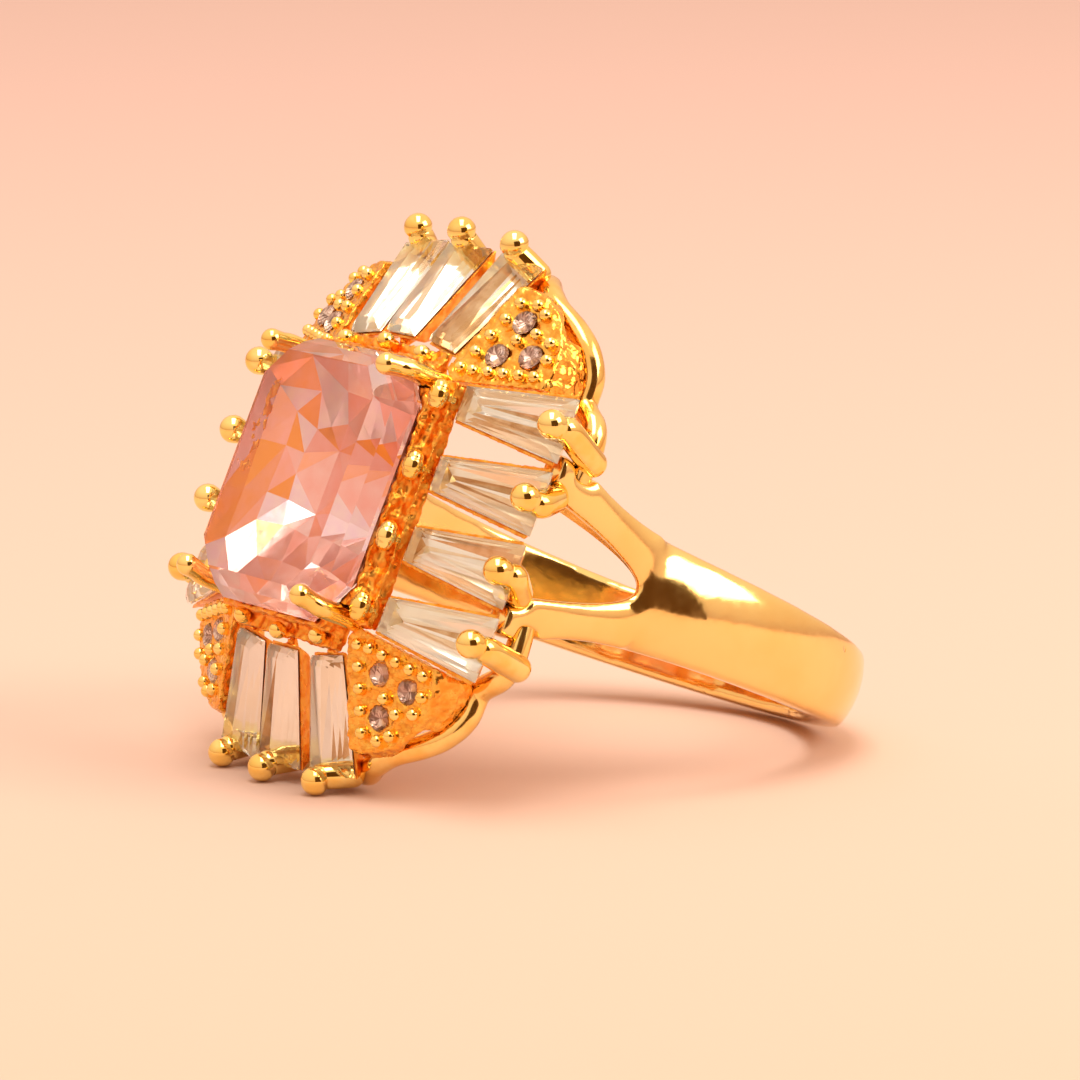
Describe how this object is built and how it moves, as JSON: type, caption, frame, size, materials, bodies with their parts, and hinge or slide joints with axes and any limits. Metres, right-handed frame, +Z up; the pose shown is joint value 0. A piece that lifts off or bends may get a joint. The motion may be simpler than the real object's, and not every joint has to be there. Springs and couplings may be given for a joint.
{
  "type": "cocktail ring",
  "caption": "Gold-plated cocktail ring: a cut-corner pink stone in a claw basket, ringed by tapered clear baguettes and stone-set corner plates, on a split shank.",
  "frame": {"origin": "middle of the lying ring's box, on the table it lies on", "axes": "+Z up from the table; +Y from the head's front towards the back of the band; +X across the finger hole, along the head's short sides"},
  "size_m": [0.0206, 0.0248, 0.0196],
  "materials": {
    "gold_plate": "polished",
    "pink_crystal": "polished, cut",
    "clear_crystal": "polished, cut",
    "smoky_crystal": "polished, cut"
  },
  "bodies": {
    "root": {"split_shank": "gold_plate", "gallery_rail_top": "gold_plate", "gallery_rail_bottom": "gold_plate", "centre_basket": "gold_plate", "pink_stone": "pink_crystal", "claw_top_right": "gold_plate", "plate_top_right": "gold_plate", "grains_top_right": "gold_plate", "claw_top_left": "gold_plate", "plate_top_left": "gold_plate", "grains_top_left": "gold_plate", "claw_bottom_left": "gold_plate", "plate_bottom_left": "gold_plate", "grains_bottom_left": "gold_plate", "claw_bottom_right": "gold_plate", "plate_bottom_right": "gold_plate", "grains_bottom_right": "gold_plate", "round_stone_top_right_1": "smoky_crystal", "round_stone_top_right_2": "smoky_crystal", "round_stone_top_right_3": "smoky_crystal", "round_stone_top_left_1": "smoky_crystal", "round_stone_top_left_2": "smoky_crystal", "round_stone_top_left_3": "smoky_crystal", "round_stone_bottom_left_1": "smoky_crystal", "round_stone_bottom_left_2": "smoky_crystal", "round_stone_bottom_left_3": "smoky_crystal", "round_stone_bottom_right_1": "smoky_crystal", "round_stone_bottom_right_2": "smoky_crystal", "round_stone_bottom_right_3": "smoky_crystal", "inner_beads_right": "gold_plate", "outer_prongs_right": "gold_plate", "seats_right": "gold_plate", "inner_beads_left": "gold_plate", "outer_prongs_left": "gold_plate", "seats_left": "gold_plate", "inner_beads_top": "gold_plate", "outer_prongs_top": "gold_plate", "seats_top": "gold_plate", "inner_beads_bottom": "gold_plate", "outer_prongs_bottom": "gold_plate", "seats_bottom": "gold_plate", "baguette_right_1": "clear_crystal", "baguette_right_2": "clear_crystal", "baguette_right_3": "clear_crystal", "baguette_right_4": "clear_crystal", "baguette_left_1": "clear_crystal", "baguette_left_2": "clear_crystal", "baguette_left_3": "clear_crystal", "baguette_left_4": "clear_crystal", "baguette_top_1": "clear_crystal", "baguette_top_2": "clear_crystal", "baguette_top_3": "clear_crystal", "baguette_bottom_1": "clear_crystal", "baguette_bottom_2": "clear_crystal", "baguette_bottom_3": "clear_crystal"}
  },
  "joints": []
}
